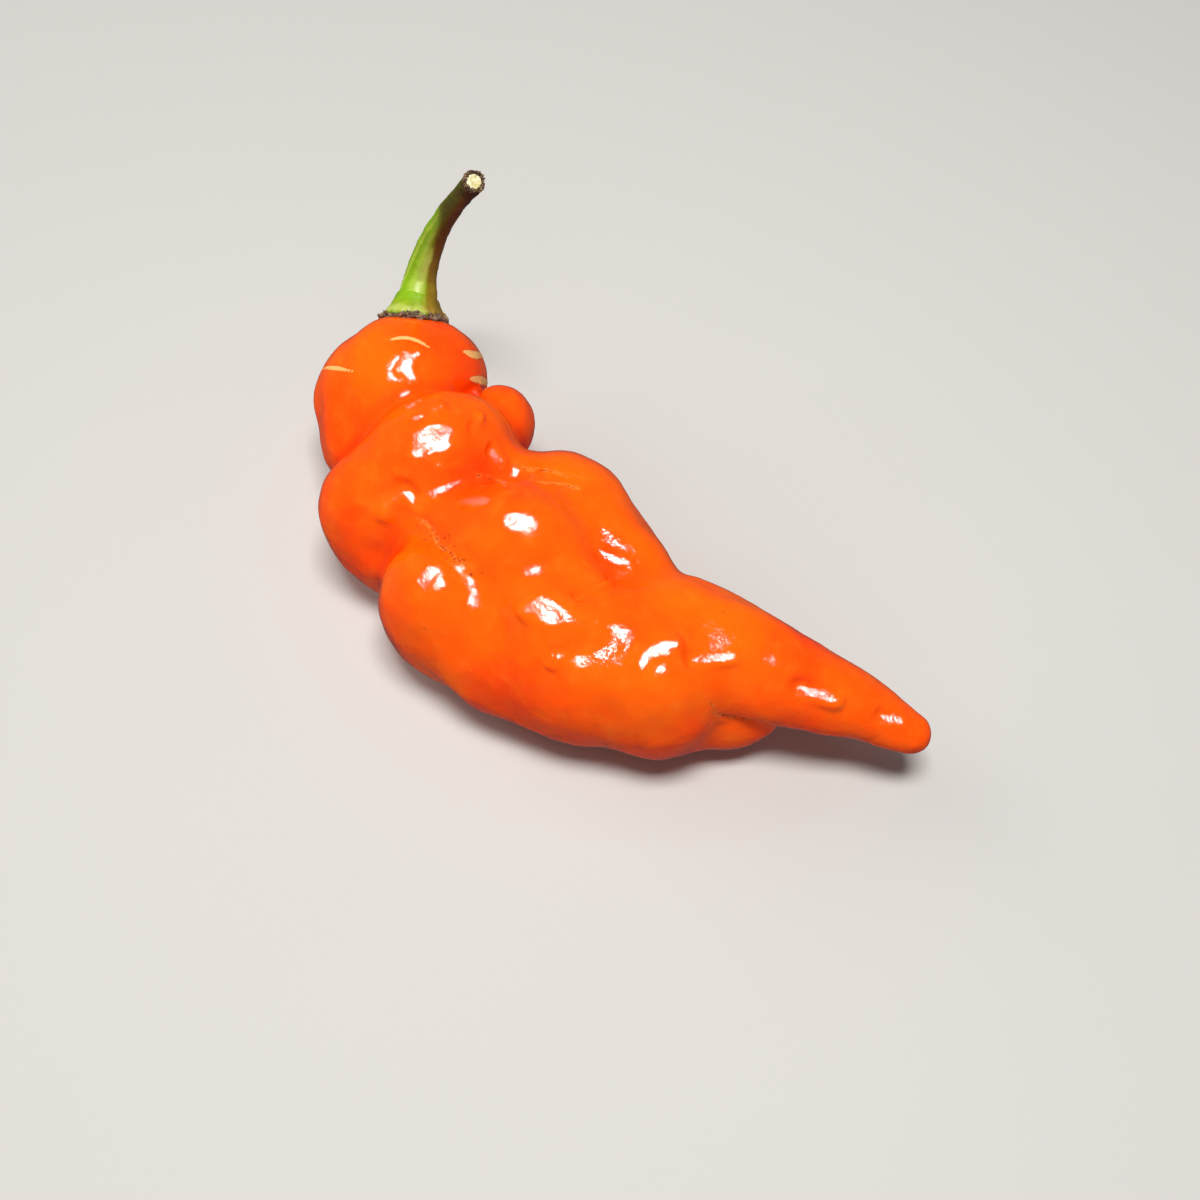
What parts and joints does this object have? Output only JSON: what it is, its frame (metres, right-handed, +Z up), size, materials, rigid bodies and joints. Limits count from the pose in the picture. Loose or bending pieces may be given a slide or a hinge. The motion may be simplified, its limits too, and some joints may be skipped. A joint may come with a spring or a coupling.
{
  "type": "chilli pepper",
  "caption": "Lumpy, wrinkled ripe chilli pod lying on its side, with a thin tapered tip, a small green calyx and a curved cut stalk.",
  "frame": {"origin": "on the resting surface, under the middle of the pepper's overall box", "axes": "+X from the stalk end to the tip, +Z up from the resting surface, +Y towards the stalk's side"},
  "size_m": [0.0867, 0.0401, 0.0418],
  "materials": {
    "pod_skin": "taut, waxy and very glossy orange skin, redder in its folds, with a few pale corky stretch marks",
    "calyx_skin": "soft satin green with a pale lip and a dark, corky, ragged lower edge",
    "stalk_skin": "satin green that turns olive and brown on one side and near the cut, with a cream cut end"
  },
  "bodies": {
    "root": {"pod": "pod_skin", "calyx": "calyx_skin", "stalk": "stalk_skin"}
  },
  "joints": []
}
